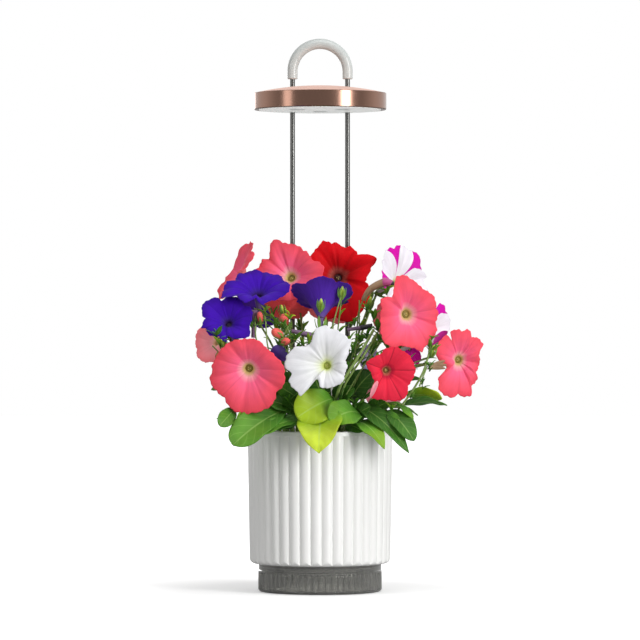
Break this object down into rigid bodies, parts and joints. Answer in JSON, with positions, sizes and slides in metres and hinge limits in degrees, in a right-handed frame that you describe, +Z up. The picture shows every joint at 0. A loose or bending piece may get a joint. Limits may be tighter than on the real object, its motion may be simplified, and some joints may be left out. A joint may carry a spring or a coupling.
{
  "type": "countertop hydroponic garden",
  "caption": "Countertop hydroponic planter: smoked water tank, ribbed white pot of petunias, and a round grow lamp that slides on two steel rods under a carrying loop.",
  "frame": {"origin": "centre of the tank's flat underside, on the surface it stands on", "axes": "+Z up; -Y to the front, away from the rods; +X to the right as seen from the front"},
  "size_m": [0.29, 0.1937, 0.5559],
  "materials": {
    "smoked_tank": "smoked translucent gloss",
    "grey_silicone": "matte silicone",
    "pot_white": "smooth satin gloss",
    "steel": "satin",
    "loop_white": "soft satin",
    "basket_grey": "matte",
    "felt": "fibrous",
    "medium": "coarse coir and clay granules",
    "rose_gold": "polished anodised",
    "diffuser_white": "satin",
    "lens": "clear frosted",
    "board_white": "solder mask",
    "emitter": "phosphor",
    "spreader": "plain",
    "board_green": "solder mask",
    "petal_coral": "soft velvety petal",
    "petal_white": "soft velvety petal",
    "petal_crimson": "soft velvety petal",
    "petal_red": "soft velvety petal",
    "petal_violet": "soft velvety petal",
    "petal_blush": "soft velvety petal",
    "petal_striped": "white with magenta bands",
    "petal_magenta": "soft velvety petal",
    "petal_lilac": "soft velvety petal",
    "leaf_green": "soft matte leaf",
    "leaf_young": "soft matte leaf",
    "stem_green": "downy stem"
  },
  "bodies": {
    "tank": {"reservoir_tank": "smoked_tank", "foot_disc": "grey_silicone"},
    "pot": {"pot_shell": "pot_white", "tank_gasket": "grey_silicone", "rod_sleeves": "steel", "rear_cover": "pot_white"},
    "cap": {"fill_cap": "loop_white"},
    "basket": {"planting_basket": "basket_grey", "wicks": "felt", "growing_medium": "medium", "bloom_coral_front_left": "petal_coral", "bloom_white_front": "petal_white", "bloom_crimson_front_right": "petal_crimson", "bloom_coral_right_top": "petal_coral", "bloom_coral_far_right": "petal_coral", "bloom_red_back": "petal_red", "bloom_coral_back_left": "petal_coral", "bloom_coral_far_left": "petal_coral", "bloom_violet_upper_left": "petal_violet", "bloom_violet_lower_left": "petal_violet", "bloom_violet_centre": "petal_violet", "bloom_blush_left": "petal_blush", "bloom_red_inner": "petal_red", "bloom_striped_top_right": "petal_striped", "bloom_striped_right": "petal_striped", "bloom_striped_low": "petal_magenta", "bloom_lilac_inner": "petal_lilac", "bloom_coral_rear": "petal_coral", "bloom_violet_rear_left": "petal_violet", "bloom_coral_rear_left": "petal_coral", "bloom_white_rear": "petal_white", "bloom_coral_rear_right": "petal_coral", "bloom_crimson_rear_right": "petal_crimson", "buds": "leaf_young", "leaves_front_left": "leaf_green", "leaves_front_centre": "leaf_green", "leaves_front_right": "leaf_green", "leaves_rear": "leaf_green", "leaves_inner": "leaf_green", "stems_left": "stem_green", "stems_right": "stem_green", "stems_rear": "stem_green"},
    "frame": {"rod_left": "steel", "rod_right": "steel", "handle_loop": "loop_white"},
    "lamp": {"lamp_rim": "rose_gold", "lamp_top_cover": "rose_gold", "lamp_diffuser": "diffuser_white", "lamp_lenses": "lens", "led_board": "board_white", "led_emitters": "emitter", "heat_spreader": "spreader", "lamp_screws": "steel", "board_spacers": "basket_grey", "driver_board": "board_green", "power_inlet": "steel", "tact_switch": "basket_grey", "rod_guides": "loop_white", "grip_rings": "grey_silicone"},
    "button": {"lamp_button": "loop_white"}
  },
  "joints": [
    {"name": "pot_lift", "type": "slide", "parent": "tank", "child": "pot", "axis": [0, 0, 1], "range_m": [0, 0.06]},
    {"name": "cap_pull", "type": "slide", "parent": "pot", "child": "cap", "axis": [0, 0, 1], "range_m": [0, 0.02]},
    {"name": "basket_lift", "type": "slide", "parent": "pot", "child": "basket", "axis": [0, 0, 1], "range_m": [0, 0.105]},
    {"name": "frame_lift", "type": "slide", "parent": "pot", "child": "frame", "axis": [0, 0, 1], "range_m": [0, 0.09]},
    {"name": "lamp_slide", "type": "slide", "parent": "frame", "child": "lamp", "axis": [0, 0, 1], "range_m": [-0.12, 0.012]},
    {"name": "button_press", "type": "slide", "parent": "lamp", "child": "button", "axis": [0.2588, -0.9659, 0], "range_m": [0, 0.0008], "stiffness_N_per_m": 400}
  ]
}
